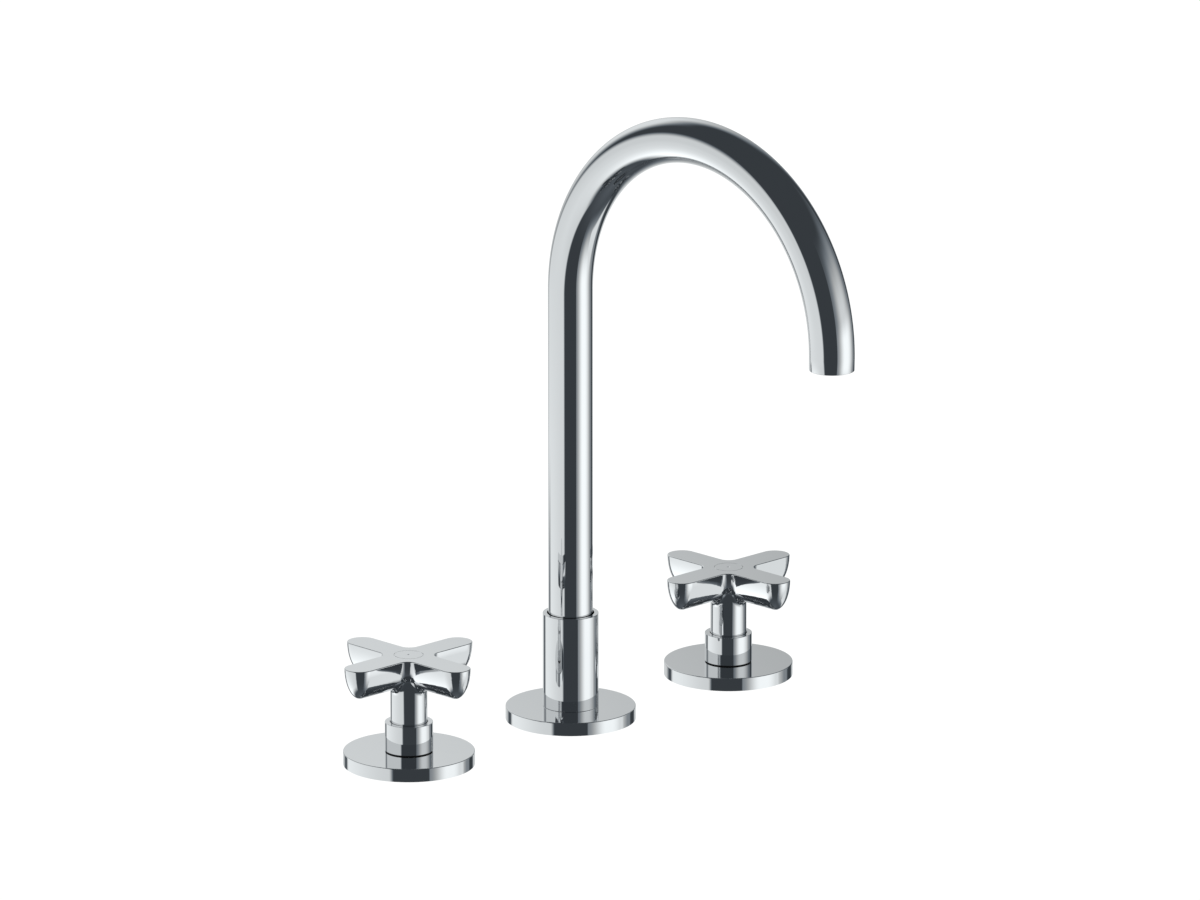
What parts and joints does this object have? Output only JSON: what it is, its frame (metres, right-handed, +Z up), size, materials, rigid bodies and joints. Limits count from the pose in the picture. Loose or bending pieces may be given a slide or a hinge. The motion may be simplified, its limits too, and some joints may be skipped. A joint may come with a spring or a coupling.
{
  "type": "three-hole basin mixer",
  "caption": "Deck-mounted basin mixer with a swan-neck swivel spout between a hot and a cold quarter-turn valve with cross handles, with its clamps and links under the deck.",
  "frame": {"origin": "on the deck's top face, on the spout's axis, in the middle of the row of holes", "axes": "+Z up, X along the row of holes with the hot valve at -X, the spout's mouth towards -Y"},
  "size_m": [0.273, 0.2089, 0.3716],
  "materials": {
    "chrome": "polished chrome plate on brass",
    "brass": "machined bare brass",
    "copper": "drawn bare copper tube",
    "stainless_steel": "pressed and turned stainless steel",
    "rubber": "matt black moulded rubber",
    "white_plastic": "moulded white acetal",
    "grey_plastic": "moulded grey acetal",
    "white_ceramic": "lapped alumina",
    "dark_ceramic": "lapped dark ceramic"
  },
  "bodies": {
    "body": {"cold_base_gasket": "rubber", "cold_cartridge_body": "brass", "cold_cartridge_o_ring": "rubber", "cold_cartridge_seal": "rubber", "cold_deck_gasket": "rubber", "cold_fixed_disc": "white_ceramic", "cold_flange": "chrome", "cold_link_tube": "copper", "cold_valve_body": "brass", "cold_valve_collar": "chrome", "collar_washers": "rubber", "hot_base_gasket": "rubber", "hot_cartridge_body": "brass", "hot_cartridge_o_ring": "rubber", "hot_cartridge_seal": "rubber", "hot_deck_gasket": "rubber", "hot_fixed_disc": "white_ceramic", "hot_flange": "chrome", "hot_link_tube": "copper", "hot_valve_body": "brass", "hot_valve_collar": "chrome", "mixing_tee": "brass", "spout_base_gasket": "rubber", "spout_collar": "chrome", "spout_deck_gasket": "rubber", "spout_deck_washer": "stainless_steel", "spout_flange": "chrome", "spout_lock_nut": "brass", "spout_shank": "brass", "spout_stop_screw": "stainless_steel", "tee_seal": "rubber", "union_nuts": "brass", "union_olives": "brass", "valve_deck_washers": "stainless_steel", "valve_lock_nuts": "brass", "valve_top_nuts": "brass"},
    "spout": {"spout_tube": "chrome", "spout_spigot": "brass", "spout_o_rings": "rubber", "spout_glide_ring": "white_plastic", "aerator_housing": "grey_plastic", "aerator_core": "white_plastic", "aerator_screen": "stainless_steel", "aerator_seal": "rubber"},
    "hot_handle": {"hot_handle": "chrome", "hot_handle_insert": "white_plastic", "hot_handle_screw": "stainless_steel", "hot_index_cap": "chrome", "hot_spindle": "brass", "hot_spindle_o_rings": "rubber", "hot_spindle_clip": "stainless_steel", "hot_moving_disc": "dark_ceramic"},
    "cold_handle": {"cold_handle": "chrome", "cold_handle_insert": "white_plastic", "cold_handle_screw": "stainless_steel", "cold_index_cap": "chrome", "cold_spindle": "brass", "cold_spindle_o_rings": "rubber", "cold_spindle_clip": "stainless_steel", "cold_moving_disc": "dark_ceramic"}
  },
  "joints": [
    {"name": "spout_swivel", "type": "hinge", "parent": "body", "child": "spout", "pos_m": [0, 0, 0.03], "axis": [0, 0, 1], "range_deg": [-60, 60]},
    {"name": "hot_handle_turn", "type": "hinge", "parent": "body", "child": "hot_handle", "pos_m": [-0.1, 0, 0.03], "axis": [0, 0, 1], "range_deg": [0, 90]},
    {"name": "cold_handle_turn", "type": "hinge", "parent": "body", "child": "cold_handle", "pos_m": [0.1, 0, 0.03], "axis": [0, 0, 1], "range_deg": [-90, 0]}
  ]
}
